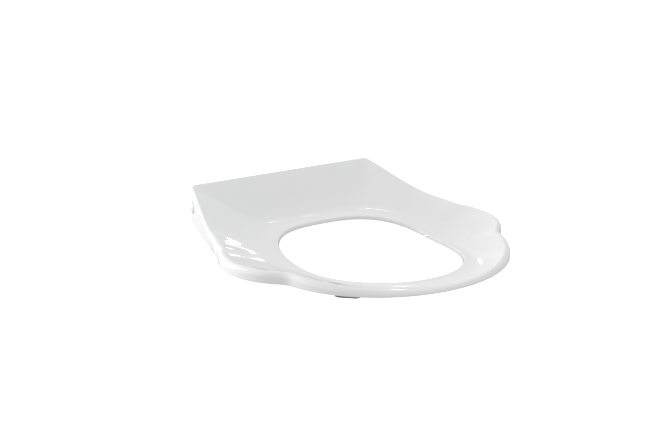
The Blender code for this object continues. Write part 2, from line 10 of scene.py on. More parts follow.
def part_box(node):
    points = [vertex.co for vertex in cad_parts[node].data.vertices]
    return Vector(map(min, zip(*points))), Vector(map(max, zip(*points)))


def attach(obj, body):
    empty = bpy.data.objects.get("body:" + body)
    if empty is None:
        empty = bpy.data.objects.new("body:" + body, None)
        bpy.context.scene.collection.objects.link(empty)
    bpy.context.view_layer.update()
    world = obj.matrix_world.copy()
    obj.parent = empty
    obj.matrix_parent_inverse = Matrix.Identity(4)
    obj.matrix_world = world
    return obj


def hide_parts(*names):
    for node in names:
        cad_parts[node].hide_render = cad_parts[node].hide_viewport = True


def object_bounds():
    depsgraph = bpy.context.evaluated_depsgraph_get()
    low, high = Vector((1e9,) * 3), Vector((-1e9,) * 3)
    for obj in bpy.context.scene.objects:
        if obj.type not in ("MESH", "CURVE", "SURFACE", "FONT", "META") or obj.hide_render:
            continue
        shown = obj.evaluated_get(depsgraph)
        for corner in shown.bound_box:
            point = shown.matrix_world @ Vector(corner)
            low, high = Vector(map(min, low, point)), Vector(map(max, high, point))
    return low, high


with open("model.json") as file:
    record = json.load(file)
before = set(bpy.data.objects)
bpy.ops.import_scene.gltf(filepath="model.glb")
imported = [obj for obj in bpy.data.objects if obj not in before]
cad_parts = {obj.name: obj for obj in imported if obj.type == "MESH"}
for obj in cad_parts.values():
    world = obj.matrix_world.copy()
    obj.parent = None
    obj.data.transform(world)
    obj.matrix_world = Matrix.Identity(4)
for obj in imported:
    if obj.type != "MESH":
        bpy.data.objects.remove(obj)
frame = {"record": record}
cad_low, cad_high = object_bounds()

# Child's toilet seat ring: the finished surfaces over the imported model.
# Metres, +Z up, the seat's front towards -Y, left is -X, the hinge axis along X.

GAP = 0.0003                 # between two pieces that touch on the real seat

# ---- seat ring, plan view ----
BACK_EDGE_Y = 0.015
DECK_HALF_WIDTH = 0.1240     # at the back edge
DECK_FLARE = 0.270           # how much each side widens per metre towards the front
DECK_FRONT_Y = -0.1189       # the flared deck ends here and the lobes take over
DECK_FRONT_ROUND = 0.012
CORNER_ROUND = 0.005
LOBE_X = 0.0978
LOBE_Y = -0.1712
LOBE_RADIUS = 0.0766
WAIST_ROUND = 0.0166
FRONT_Y = -0.2128            # centre of the front ring's ellipse
FRONT_HALF_WIDTH = 0.1414
FRONT_HALF_LENGTH = 0.1276
NOTCH_ROUND = 0.0072
RING_CENTRE_Y = -0.175       # every section of the ring is cut through this point
OPENING_Y = -0.1906
OPENING_HALF_WIDTH = 0.0900
OPENING_HALF_LENGTH = 0.1098
OPENING_EGG = 0.02           # how much wider the opening is towards the back
OPENING_POWER_BACK = 2.77    # superellipse powers: 2 is an ellipse, more is squarer
OPENING_POWER_FRONT = 2.08

# ---- seat ring, heights above the pan, as (y, height) from front to back ----
SKIRT_FOOT = 0.013
CREST = ((-0.3004, 0.0148), (-0.1906, 0.0081), (-0.0809, 0.0178))
EDGE = ((-0.344, 0.0172), (-0.235, 0.0258), (-0.180, 0.0258), (-0.090, 0.0297), (0.015, 0.0568))
LIP_DROP = 0.0044
DECK_SAG = 0.0012
CORNER_EASE = 0.55           # radians over which the back corners fade out towards the opening
ROLL_INNER = 0.0022
ROLL_FRONT = 0.0064
ROLL_DECK = 0.003
ROLL_CHANGE_Y = (-0.060, -0.120)
WALL = 0.0032
FOOT_ROUND = 0.0009
STATIONS = 360
TURN_WEIGHT = 0.030          # metres of outline that one radian of turn counts as

# ---- under the seat ring ----
NOTCH_HALF_WIDTH = 0.0175
NOTCH_TOP = 0.0475
NOTCH_FRONT_Y = 0.0095
LUG_THICKNESS = 0.006
LUG_RADIUS = 0.008
SIDE_BOSS_RADIUS = 0.0095
SIDE_BOSS_X = 0.108
CAP_RADIUS = 0.0065
CAP_SEAT_X = 0.1190
RIB_ANGLES = (10.0, -15.0, -38.0)
RIB_THICKNESS = 0.0024
RIB_FOOT_LIFT = 0.0015
RIB_LEAST = 0.0020            # the ribs stop where they would be lower than this
BUFFER_TURNS = {"front": 42.0, "rear": 105.0}
BUFFER_LENGTH = 0.030
BUFFER_WIDTH = 0.014
BUFFER_EDGE = 0.0016
COUNTERBORE_RADIUS = 0.0039
COUNTERBORE_TOP = 0.0050
GROOVE_WIDTH = 0.0010
GROOVE_DEPTH = 0.0006
GROOVE_START = 0.0065
GROOVE_PITCH = 0.0024
PAN_HEAD_RADIUS = 0.0036
PAN_HEAD_HEIGHT = 0.0022
CROSS_LENGTH = 0.0036
CROSS_WIDTH = 0.0008
CROSS_DEPTH = 0.0012
BUFFER_SCREW_RADIUS = 0.0018
BUFFER_SCREW_HOLE = 0.0021
BEYOND = 0.001               # how far a cutter runs past the face that it opens
BEYOND_SIDES = 0.15          # past both of the ring's side walls, along X

# ---- hinge set ----
ROD_RADIUS = 0.004
EYE_RADIUS = 0.009
EYE_HALF_LENGTH = 0.009
BUSH_RADIUS = 0.0060
BUSH_LENGTH = 0.0085
BUSH_FLANGE = 0.0012
BUSH_FLANGE_RADIUS = 0.0085
SPIGOT_RADIUS = 0.0060
FIXING_HEAD_SEAT = 0.0085
SHANK_RADIUS = 0.0030
GASKET_HOLE = 0.0068
POST_RADIUS = 0.0085
NUT_RADIUS = 0.0046
GRUB_RADIUS = 0.0022
GRUB_HEIGHT = 0.0090
GRUB_FROM = 0.0064           # the grub screw's two ends, from the fixing's axis
GRUB_TO = 0.0084
BASE_THICKNESS = 0.0030
WELL_RADIUS = 0.0048         # round the fixing screw's head, inside the spigot
FIXING_HEAD_RADIUS = 0.0045
PLUG_RIBS = 5

joint = frame["record"]["behaviour"]["joints"][0]
HINGE = Vector(joint["pos_m"])


def middle(node):
    low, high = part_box(node)
    return (Vector(low) + Vector(high)) / 2


def span(node, axis):
    """Lowest and highest place of a node along X, Y or Z, as 0, 1 or 2."""
    low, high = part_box(node)
    return low[axis], high[axis]


def half_width(node):
    low, high = span(node, 0)
    return (high - low) / 2


FIXING_X = middle("fixing_screw_right").x


# ---------------------------------------------------------------- materials

def noise_node(nodes, links, coords, scale, detail):
    noise = nodes.new("ShaderNodeTexNoise")
    noise.inputs["Scale"].default_value = scale
    noise.inputs["Detail"].default_value = detail
    links.new(coords, noise.inputs["Vector"])
    return noise.outputs["Fac"]


def ranged(nodes, links, value, low, high):
    """A 0 to 1 value stretched over its usual middle range, then mapped from low to high."""
    node = nodes.new("ShaderNodeMapRange")
    node.inputs["From Min"].default_value = 0.35
    node.inputs["From Max"].default_value = 0.65
    node.inputs["To Min"].default_value = low
    node.inputs["To Max"].default_value = high
    links.new(value, node.inputs["Value"])
    return node.outputs["Result"]


def surface(name, tones, rough, blotch, grain, height,
            metallic=0.0, stretch=(1, 1, 1), coat=0.0):
    """A material with drifting tone, uneven gloss and a fine relief.

    tones are two colours, rough is (smoothest, roughest), blotch and grain are noise scales,
    and height is the relief in metres."""
    mat = bpy.data.materials.new(name)
    mat.use_nodes = True
    nodes = mat.node_tree.nodes
    links = mat.node_tree.links
    shader = nodes["Principled BSDF"]
    coords = nodes.new("ShaderNodeTexCoord")
    mapping = nodes.new("ShaderNodeMapping")
    mapping.inputs["Scale"].default_value = stretch
    links.new(coords.outputs["Object"], mapping.inputs["Vector"])
    place = mapping.outputs["Vector"]
    drift = ranged(nodes, links, noise_node(nodes, links, coords.outputs["Object"], blotch, 4), 0, 1)
    mix = nodes.new("ShaderNodeMix")
    mix.data_type = "RGBA"
    mix.inputs["A"].default_value = (*tones[0], 1)
    mix.inputs["B"].default_value = (*tones[1], 1)
    links.new(drift, mix.inputs["Factor"])
    links.new(mix.outputs["Result"], shader.inputs["Base Color"])
    relief = noise_node(nodes, links, place, grain, 3)
    links.new(ranged(nodes, links, relief, *rough), shader.inputs["Roughness"])
    bump = nodes.new("ShaderNodeBump")
    bump.inputs["Strength"].default_value = 1.0
    bump.inputs["Distance"].default_value = height
    links.new(relief, bump.inputs["Height"])
    links.new(bump.outputs["Normal"], shader.inputs["Normal"])
    shader.inputs["Metallic"].default_value = metallic
    shader.inputs["Coat Weight"].default_value = coat
    shader.inputs["Coat Roughness"].default_value = 0.04
    return mat


STEEL_TONES = ((0.60, 0.60, 0.61), (0.68, 0.68, 0.685))

white = surface("gloss_white", ((0.76, 0.765, 0.765), (0.78, 0.782, 0.78)), (0.045, 0.075),
                9, 55, 0.00001, coat=0.2)
cap_grey = surface("light_grey", ((0.66, 0.66, 0.665), (0.70, 0.70, 0.70)), (0.30, 0.42),
                   60, 900, 0.00002)
rubber = surface("dark_rubber", ((0.105, 0.107, 0.112), (0.15, 0.152, 0.156)), (0.50, 0.72),
                 130, 1500, 0.00006)
steel = surface("stainless", STEEL_TONES, (0.20, 0.36),
                90, 700, 0.00001, metallic=1.0, stretch=(0.15, 1, 1))
turned_steel = surface("stainless_turned", STEEL_TONES, (0.20, 0.34),
                       90, 700, 0.00001, metallic=1.0, stretch=(0.15, 0.15, 3))
nylon = surface("nylon", ((0.70, 0.68, 0.62), (0.77, 0.755, 0.70)), (0.38, 0.52),
                120, 1200, 0.00002)
brass = surface("brass", ((0.66, 0.47, 0.19), (0.74, 0.56, 0.27)), (0.22, 0.38),
                110, 900, 0.00001, metallic=1.0, stretch=(0.2, 0.2, 3))


# ---------------------------------------------------------------- mesh helpers

def mesh_object(name, bm, mat):
    bmesh.ops.recalc_face_normals(bm, faces=bm.faces)
    mesh = bpy.data.meshes.new(name)
    bm.to_mesh(mesh)
    bm.free()
    mesh.materials.append(mat)
    obj = bpy.data.objects.new(name, mesh)
    bpy.context.scene.collection.objects.link(obj)
    return obj


def smooth_shade(obj, angle=32.0):
    obj.data.shade_smooth()
    obj.data.set_sharp_from_angle(angle=math.radians(angle))
    return obj


def rounded(profile, radius, steps=4):
    """A (radius, height) profile with its inner corners rounded as far as their sides allow."""
    points = [profile[0]]
    for before, corner, after in zip(profile, profile[1:], profile[2:]):
        here = Vector(corner)
        back = Vector(before) - here
        on = Vector(after) - here
        cut = min(radius, back.length * 0.45, on.length * 0.45)
        start = here + back.normalized() * cut
        end = here + on.normalized() * cut
        for k in range(steps + 1):
            t = k / steps
            points.append(tuple(start * (1 - t) ** 2 + here * 2 * t * (1 - t) + end * t * t))
    points.append(profile[-1])
    return points


def turned(name, profile, mat, steps=72, place=(0, 0, 0), along="Z"):
    """A solid turned from (radius, height) points about Z or X; two end radii above zero make a ring."""
    bm = bmesh.new()
    rows = []
    for radius, height in profile:
        if radius <= 0:
            rows.append([bm.verts.new((0, 0, height))] * steps)
            continue
        angles = [2 * math.pi * k / steps for k in range(steps)]
        rows.append([bm.verts.new((radius * math.cos(a), radius * math.sin(a), height)) for a in angles])
    closed = profile[0][0] > 0
    pairs = list(zip(rows, rows[1:])) + ([(rows[-1], rows[0])] if closed else [])
    for one, two in pairs:
        for i in range(steps):
            j = (i + 1) % steps
            corners = list(dict.fromkeys((one[i], one[j], two[j], two[i])))
            bm.faces.new(corners)
    turn = Matrix.Rotation(math.radians(90), 4, "Y") if along == "X" else Matrix()
    bmesh.ops.transform(bm, matrix=Matrix.Translation(place) @ turn, verts=bm.verts)
    return smooth_shade(mesh_object(name, bm, mat))


def mirrored_profile(profile):
    return [(radius, -height) for radius, height in reversed(profile)]


def threaded(name, radius, depth, pitch, low, high, mat, steps=36, rows_per_turn=10):
    """A threaded shank about Z, with plain tapered ends."""
    bm = bmesh.new()
    count = int((high - low) / pitch * rows_per_turn)
    rings = []
    for k in range(count + 1):
        z = low + (high - low) * k / count
        ease = min(1.0, (z - low) / pitch, (high - z) / pitch)
        ring = []
        for i in range(steps):
            a = 2 * math.pi * i / steps
            phase = (z / pitch - i / steps) % 1.0
            groove = depth * (1 - abs(2 * phase - 1)) * ease
            r = radius - groove - depth * 0.8 * (1 - ease)
            ring.append(bm.verts.new((r * math.cos(a), r * math.sin(a), z)))
        rings.append(ring)
    for one, two in zip(rings, rings[1:]):
        for i in range(steps):
            j = (i + 1) % steps
            bm.faces.new((one[i], one[j], two[j], two[i]))
    bm.faces.new(rings[0])
    bm.faces.new(rings[-1])
    return smooth_shade(mesh_object(name, bm, mat), 60)


def prism(name, outline, low, high, mat, bevel=0.0, segments=3):
    """A flat outline of (x, y) points raised from one height to another, with rounded edges."""
    bm = bmesh.new()
    face = bm.faces.new([bm.verts.new((x, y, low)) for x, y in outline])
    raised = bmesh.ops.extrude_face_region(bm, geom=[face])
    moved = [v for v in raised["geom"] if isinstance(v, bmesh.types.BMVert)]
    bmesh.ops.translate(bm, verts=moved, vec=(0, 0, high - low))
    bmesh.ops.recalc_face_normals(bm, faces=bm.faces)
    if bevel:
        flat = [e for e in bm.edges if abs(e.verts[0].co.z - e.verts[1].co.z) < 1e-7]
        bmesh.ops.bevel(bm, geom=flat, offset=bevel, segments=segments, profile=0.5, affect="EDGES")
    return mesh_object(name, bm, mat)


def box(name, low, high, mat):
    outline = ((low[0], low[1]), (high[0], low[1]), (high[0], high[1]), (low[0], high[1]))
    return prism(name, outline, low[2], high[2], mat)


def moved(obj, matrix):
    obj.data.transform(matrix)
    return obj


def boolean(obj, others, operation):
    """Joins or cuts obj with the others, all at once, and takes the others away."""
    group = bpy.data.collections.new(operation.lower())
    for other in others:
        group.objects.link(other)
    modifier = obj.modifiers.new(operation, "BOOLEAN")
    modifier.operation = operation
    modifier.solver = "EXACT"
    modifier.operand_type = "COLLECTION"
    modifier.collection = group
    bpy.context.view_layer.update()
    result = obj.evaluated_get(bpy.context.evaluated_depsgraph_get())
    mesh = bpy.data.meshes.new_from_object(result)
    obj.modifiers.clear()
    obj.data = mesh
    for other in others:
        bpy.data.objects.remove(other)
    bpy.data.collections.remove(group)
    return obj


def stadium(length, width, steps=14):
    """A slot-shaped outline along X, as (x, y) points."""
    radius = width / 2
    half = length / 2 - radius
    points = []
    for centre, start in ((half, -90), (-half, 90)):
        for k in range(steps + 1):
            a = math.radians(start + 180 * k / steps)
            points.append((centre + radius * math.cos(a), radius * math.sin(a)))
    return points


def fit_out(obj, node, body):
    """Hands a finished piece over: it stands for a node, moves with a body and takes a finish."""
    obj.name = f"{node}_finish"
    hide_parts(node)
    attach(obj, body)
    return obj


# ---------------------------------------------------------------- seat ring

def smooth_min(a, b, size):
    blend = np.maximum(size - np.abs(a - b), 0) / size
    return np.minimum(a, b) - blend * blend * size / 4


def smooth_max(a, b, size):
    return -smooth_min(-a, -b, size)


def outline_field(x, y):
    """Below zero inside the seat's outline: a flared deck, two lobes and an ellipse, blended."""
    slope = 1 / math.hypot(1, DECK_FLARE)
    side = (np.abs(x) - DECK_HALF_WIDTH - DECK_FLARE * (BACK_EDGE_Y - y)) * slope
    deck = smooth_max(y - BACK_EDGE_Y, side, CORNER_ROUND)
    deck = smooth_max(deck, DECK_FRONT_Y - y, DECK_FRONT_ROUND)
    lobe = np.hypot(np.abs(x) - LOBE_X, y - LOBE_Y) - LOBE_RADIUS
    front = np.hypot(x / FRONT_HALF_WIDTH, (y - FRONT_Y) / FRONT_HALF_LENGTH) - 1
    field = smooth_min(deck, lobe, WAIST_ROUND)
    return smooth_min(field, front * FRONT_HALF_LENGTH, NOTCH_ROUND)


def opening_field(x, y):
    """Below zero inside the opening: an egg-shaped superellipse."""
    along = (y - OPENING_Y) / OPENING_HALF_LENGTH
    half_width = OPENING_HALF_WIDTH * (1 + OPENING_EGG * np.clip(along, -1.2, 1.2))
    power = np.where(along > 0, OPENING_POWER_BACK, OPENING_POWER_FRONT)
    return np.abs(x / half_width) ** power + np.abs(along) ** power - 1


def reach(field, angles, low=0.01, high=0.4, rounds=40):
    """How far a field's zero line lies from the ring centre at each angle, by halving."""
    low = np.full(angles.shape, low)
    high = np.full(angles.shape, high)
    for _ in range(rounds):
        centre = (low + high) / 2
        inside = field(centre * np.cos(angles), RING_CENTRE_Y + centre * np.sin(angles)) < 0
        low = np.where(inside, centre, low)
        high = np.where(inside, high, centre)
    return (low + high) / 2


def station_angles(count):
    """Angles about the ring centre, closer together where the outline turns."""
    fine = np.linspace(0, 2 * np.pi, 4001) - np.pi / 2
    radius = reach(outline_field, fine)
    steps = np.diff(np.stack([radius * np.cos(fine), radius * np.sin(fine)]), axis=1)
    heading = np.unwrap(np.arctan2(steps[1], steps[0]))
    turn = np.abs(np.diff(heading, prepend=heading[0]))
    travelled = np.concatenate([[0], np.cumsum(np.hypot(*steps) + TURN_WEIGHT * turn)])
    return np.interp(np.linspace(0, travelled[-1], count, endpoint=False), travelled, fine)


def through(knots, at):
    """A smooth curve through (place, height) knots that never overshoots them."""
    places, heights = (np.array(values) for values in zip(*knots))
    gaps = np.diff(places)
    slopes = np.diff(heights) / gaps
    total = np.where(slopes[:-1] * slopes[1:] > 0, slopes[:-1] + slopes[1:], np.inf)
    inner = 2 * slopes[:-1] * slopes[1:] / total
    tangents = np.concatenate([slopes[:1], inner, slopes[-1:]])
    at = np.clip(at, places[0], places[-1])
    i = np.clip(np.searchsorted(places, at) - 1, 0, len(gaps) - 1)
    t = (at - places[i]) / gaps[i]
    rise = heights[i] + (heights[i + 1] - heights[i]) * t * t * (3 - 2 * t)
    bend = tangents[i] * t * (1 - t) ** 2 - tangents[i + 1] * t * t * (1 - t)
    return rise + gaps[i] * bend


def smooth_step(t):
    t = np.clip(t, 0, 1)
    return t * t * (3 - 2 * t)


def ring_measures(angles):
    """Where each section starts and ends, and the heights that it runs through."""
    lip = reach(opening_field, angles)
    edge = reach(outline_field, angles)
    lip_y = RING_CENTRE_Y + lip * np.sin(angles)
    edge_y = RING_CENTRE_Y + edge * np.sin(angles)
    start, end = ROLL_CHANGE_Y
    roll = ROLL_DECK + (ROLL_FRONT - ROLL_DECK) * smooth_step((edge_y - start) / (end - start))
    return {"lip": lip, "width": edge - lip, "crest": through(CREST, lip_y),
            "edge": through(EDGE, edge_y), "roll": roll}


def averaged(values, spread):
    """Values at even angles, each averaged with its neighbours within a spread in radians."""
    count = max(int(spread * len(values) / (2 * math.pi)), 1)
    weights = np.hanning(2 * count + 3)[1:-1]
    around = np.concatenate([values[-count:], values, values[:count]])
    return np.convolve(around, weights / weights.sum(), "valid")


def eased(angles, m, s):
    """How far across the deck a point counts as, and the height it climbs to, once the corners fade."""
    even = np.linspace(0, 2 * np.pi, 720, endpoint=False)
    whole = ring_measures(even)
    spread = CORNER_EASE * (1 - s)
    width = np.interp(angles, even, averaged(whole["width"], spread), period=2 * np.pi)
    edge = np.interp(angles, even, averaged(whole["edge"], spread), period=2 * np.pi)
    return s * (1 + (1 - s) * (m["width"] / width - 1)), m["edge"] + (1 - s) * (edge - m["edge"])


def skin_rows(angles, m, inset, inner_steps, deck_steps, outer_steps, wall_steps=1):
    """Rows of (distance from the lip, height) over one skin, from the lip's foot to the skirt's.

    The outer skin has no inset. The underside is the same shape moved in by the wall."""
    crest = m["crest"] - inset
    edge = m["edge"] - inset
    width = m["width"] - inset
    foot = m["crest"] - LIP_DROP
    roll_in = max(ROLL_INNER - inset, 0.001)
    roll_out = np.maximum(m["roll"] - inset, 0.001)
    low_turn = math.asin(FOOT_ROUND / (LIP_DROP - inset))
    rows = []
    for a in np.linspace(low_turn, np.pi / 2, inner_steps):
        rows.append((inset + roll_in * (1 - np.cos(a)), foot + (crest - foot) * np.sin(a)))
    start = inset + roll_in
    run = width - roll_out - start
    for k in range(1, deck_steps):
        s = k / deck_steps
        across, rim = eased(angles, m, s)
        climb = across * across * (2 - across)
        sag = DECK_SAG * 4 * s * (1 - s)
        rows.append((start + run * s, crest + (rim - inset - crest) * climb - sag))
    drop = np.minimum(roll_out, edge - SKIRT_FOOT - FOOT_ROUND - 0.0003)
    for a in np.linspace(0, np.pi / 2, outer_steps):
        rows.append((width - roll_out * (1 - np.sin(a)), edge - drop * (1 - np.cos(a))))
    top = edge - drop
    for k in range(1, wall_steps + 1):
        rows.append((width, top + (SKIRT_FOOT + FOOT_ROUND - top) * k / wall_steps))
    return rows


def foot_rows(outer, inner, low, steps=4):
    """A rounded foot between two sides of a wall, as rows of (distance, height)."""
    way = np.sign(np.mean(inner - outer))
    turn = np.linspace(0, np.pi / 2, steps)
    rows = []
    for a in turn[1:]:
        rows.append((outer + way * FOOT_ROUND * (1 - np.cos(a)), low + FOOT_ROUND * (1 - np.sin(a))))
    for a in turn[:0:-1]:
        rows.append((inner - way * FOOT_ROUND * (1 - np.cos(a)), low + FOOT_ROUND * (1 - np.sin(a))))
    return rows


def ring_shell(name):
    """The moulded shell: outer skin, rounded skirt foot, underside and rounded lip foot."""
    angles = station_angles(STATIONS)
    m = ring_measures(angles)
    lip_foot = m["crest"] - LIP_DROP
    rows = skin_rows(angles, m, 0.0, 10, 30, 12, wall_steps=5)
    rows += foot_rows(m["width"], m["width"] - WALL, SKIRT_FOOT)
    rows += skin_rows(angles, m, WALL, 4, 16, 6, wall_steps=3)[::-1]
    rows += foot_rows(WALL, 0.0, lip_foot)
    bm = bmesh.new()
    grid = []
    for distance, height in rows:
        radius = m["lip"] + distance
        heights = np.broadcast_to(height, radius.shape)
        points = zip(radius * np.cos(angles), RING_CENTRE_Y + radius * np.sin(angles), heights)
        grid.append([bm.verts.new(point) for point in points])
    for k, row in enumerate(grid):
        following = grid[(k + 1) % len(grid)]
        for i in range(STATIONS):
            j = (i + 1) % STATIONS
            bm.faces.new((row[i], row[j], following[j], following[i]))
    bmesh.ops.triangulate(bm, faces=bm.faces)
    return mesh_object(name, bm, white)


def section(angle, inset):
    """The lip's distance from the ring centre at one angle, and (distance, height) over the skin."""
    angles = np.array([angle])
    m = ring_measures(angles)
    rows = skin_rows(angles, m, inset, 4, 12, 4)
    return float(m["lip"][0]), [tuple(float(np.ravel(value)[0]) for value in row) for row in rows]


def deck_height(x, y):
    """Height of the ring's top face over a point of the plan."""
    lip, rows = section(math.atan2(y - RING_CENTRE_Y, x), 0.0)
    along, high = zip(*rows[3:-1])
    return float(np.interp(math.hypot(x, y - RING_CENTRE_Y) - lip, along, high))


def rib(angle):
    """A stiffening rib across the ring's hollow underside at one angle."""
    lip, rows = section(math.radians(angle), WALL * 0.6)
    low = SKIRT_FOOT + RIB_FOOT_LIFT
    outline = [(lip + along, high) for along, high in rows[2:-2] if high > low + RIB_LEAST]
    outline += [(outline[-1][0], low), (outline[0][0], low)]
    half = RIB_THICKNESS / 2
    plate = prism("rib", outline, -half, half, white, bevel=0.0004, segments=2)
    stand = Matrix.Rotation(math.radians(90), 4, "X")
    turn = Matrix.Rotation(math.radians(angle), 4, "Z")
    return moved(plate, Matrix.Translation((0, RING_CENTRE_Y, 0)) @ turn @ stand)


def hinge_lug(x):
    """A lug on the rod: round under it, straight up into the deck."""
    arc = [math.radians(a) for a in range(180, 361, 9)]
    outline = [(LUG_RADIUS * math.cos(a), HINGE.z + LUG_RADIUS * math.sin(a)) for a in arc]
    outline += [(y, deck_height(x, y) - WALL / 2) for y in (LUG_RADIUS, -LUG_RADIUS)]
    half = LUG_THICKNESS / 2
    plate = prism("lug", outline, -half, half, white, bevel=0.0006, segments=3)
    upright = Matrix(((0, 0, 1), (1, 0, 0), (0, 1, 0))).to_4x4()
    return moved(plate, Matrix.Translation((x, 0, 0)) @ upright)


def lug_places():
    reach_out = EYE_HALF_LENGTH + BUSH_FLANGE + 3 * GAP + LUG_THICKNESS / 2
    return [side * (FIXING_X + way * reach_out) for side in (-1, 1) for way in (-1, 1)]


def buffer_frames():
    """Each buffer's name and place, from its screw in the frame, mirrored to the left side."""
    for row, turn in BUFFER_TURNS.items():
        for side, word in ((-1, "left"), (1, "right")):
            at = middle(f"buffer_screw_{row}_{word}")
            turned_to = Matrix.Rotation(math.radians(side * turn), 4, "Z")
            yield f"{row}_{word}", Matrix.Translation((at.x, at.y, 0)) @ turned_to


def buffer_boss(name, place):
    """The pedestal above a buffer, which ends inside the deck's wall."""
    foot = span(f"buffer_{name}", 2)[1] + GAP
    boss = prism("boss", stadium(BUFFER_LENGTH, BUFFER_WIDTH), foot, foot + 0.001, white)
    for vertex in boss.data.vertices:
        over = place @ vertex.co
        if vertex.co.z > foot + 0.0005:
            vertex.co.z = deck_height(over.x, over.y) - WALL / 2
    bm = bmesh.new()
    bm.from_mesh(boss.data)
    bmesh.ops.triangulate(bm, faces=bm.faces)
    bm.to_mesh(boss.data)
    bm.free()
    return moved(boss, place)


def bore(radius, low, high, steps=48, place=(0, 0, 0), along="Z"):
    return turned("bore", [(0, high), (radius, high), (radius, low), (0, low)], white, steps, place, along)


def build_ring():
    ring = ring_shell("seat_shell")
    cuts = []
    for side in (-1, 1):
        low = (side * FIXING_X - NOTCH_HALF_WIDTH, NOTCH_FRONT_Y, 0)
        high = (side * FIXING_X + NOTCH_HALF_WIDTH, BACK_EDGE_Y + 0.006, NOTCH_TOP)
        cuts.append(box("notch", low, high, white))
    boolean(ring, cuts, "DIFFERENCE")
    adds = [buffer_boss(name, place) for name, place in buffer_frames()]
    for angle in RIB_ANGLES:
        adds += [rib(angle), rib(180 - angle)]
    adds += [hinge_lug(x) for x in lug_places()]
    for side in (-1, 1):
        ends = sorted((side * SIDE_BOSS_X, side * (DECK_HALF_WIDTH + 0.002)))
        adds.append(bore(SIDE_BOSS_RADIUS, *ends, place=HINGE, along="X"))
    boolean(ring, adds, "UNION")
    cuts = []
    for name, place in buffer_frames():
        low, high = span(f"buffer_screw_{name}", 2)
        cuts.append(bore(BUFFER_SCREW_HOLE, low, high + GAP, place=place.translation, steps=24))
    for side in (-1, 1):
        ends = sorted((side * CAP_SEAT_X, side * BEYOND_SIDES))
        cuts.append(bore(CAP_RADIUS + GAP, *ends, place=HINGE, along="X"))
    boolean(ring, cuts, "DIFFERENCE")
    rod_hole = bore(ROD_RADIUS + GAP, -BEYOND_SIDES, BEYOND_SIDES, place=HINGE, along="X", steps=40)
    boolean(ring, [rod_hole], "DIFFERENCE")
    fit_out(smooth_shade(ring, 30), "seat_ring", "seat")


# ---------------------------------------------------------------- pieces on the seat

def build_rod():
    low, high = span("hinge_rod", 0)
    rod = turned("rod", rounded([(0, high), (ROD_RADIUS, high), (ROD_RADIUS, low), (0, low)], 0.0006),
                 steel, 64, HINGE, "X")
    fit_out(rod, "hinge_rod", "seat")
    for side, word in ((-1, "left"), (1, "right")):
        low, high = sorted(abs(x) for x in span(f"rod_cap_{word}", 0))
        profile = [(0, high), (CAP_RADIUS * 0.45, high - 0.0002), (CAP_RADIUS * 0.80, high - 0.0008)]
        profile += [(CAP_RADIUS, high - 0.0022), (CAP_RADIUS, low), (0, low)]
        profile = rounded(profile, 0.0012)
        if side < 0:
            profile = mirrored_profile(profile)
        cap = turned("cap", profile, cap_grey, 64, HINGE, "X")
        fit_out(cap, f"rod_cap_{word}", "seat")


def build_buffer(name, place):
    """A moulded pad with a grooved foot and a counterbore for its screw."""
    low, high = span(f"buffer_{name}", 2)
    outline = stadium(BUFFER_LENGTH, BUFFER_WIDTH, 20)
    pad = prism("pad", outline, low, high, rubber, bevel=BUFFER_EDGE, segments=5)
    moved(pad, place)
    cuts = [bore(COUNTERBORE_RADIUS, low - BEYOND, COUNTERBORE_TOP, place=place.translation),
            bore(BUFFER_SCREW_HOLE, low, high + BEYOND, place=place.translation, steps=32)]
    for along in (-1, 1):
        for k in range(3):
            x = along * (GROOVE_START + GROOVE_PITCH * k)
            half = BUFFER_WIDTH / 2 - 0.0030 - 0.0006 * k
            groove = box("groove", (x - GROOVE_WIDTH / 2, -half, low - BEYOND),
                         (x + GROOVE_WIDTH / 2, half, low + GROOVE_DEPTH), rubber)
            cuts.append(moved(groove, place))
    boolean(pad, cuts, "DIFFERENCE")
    fit_out(smooth_shade(pad, 40), f"buffer_{name}", "seat")


def build_buffer_screw(name, place):
    """A pan-head screw with a cross recess and a coarse thread."""
    low, high = span(f"buffer_screw_{name}", 2)
    seat = low + PAN_HEAD_HEIGHT
    profile = [(0, seat), (PAN_HEAD_RADIUS, seat), (PAN_HEAD_RADIUS, low + 0.0012), (0.0026, low), (0, low)]
    head = turned("screw_head", rounded(profile, 0.0009), turned_steel, 48)
    arms = []
    for x, y in ((CROSS_LENGTH / 2, CROSS_WIDTH / 2), (CROSS_WIDTH / 2, CROSS_LENGTH / 2)):
        arms.append(box("arm", (-x, -y, low - BEYOND), (x, y, low + CROSS_DEPTH), steel))
    boolean(head, arms, "DIFFERENCE")
    shank = threaded("screw_shank", BUFFER_SCREW_RADIUS, 0.00035, 0.0014, seat - 0.0004, high, turned_steel)
    boolean(head, [shank], "UNION")
    moved(head, place)
    fit_out(smooth_shade(head, 40), f"buffer_screw_{name}", "seat")


# ---------------------------------------------------------------- hinge pieces on the pan

def build_gasket(word, x):
    low, high = span(f"gasket_{word}", 2)
    outer = half_width(f"gasket_{word}")
    inner = GASKET_HOLE
    rise = high - low
    profile = [(inner, high), (outer - 0.0030, high), (outer - 0.0026, high - 0.0003)]
    profile += [(outer - 0.0022, high), (outer, high), (outer, low), (inner, low)]
    gasket = turned("gasket", rounded(profile, rise * 0.25), rubber, 96, (x, 0, 0))
    fit_out(gasket, f"gasket_{word}", "root")


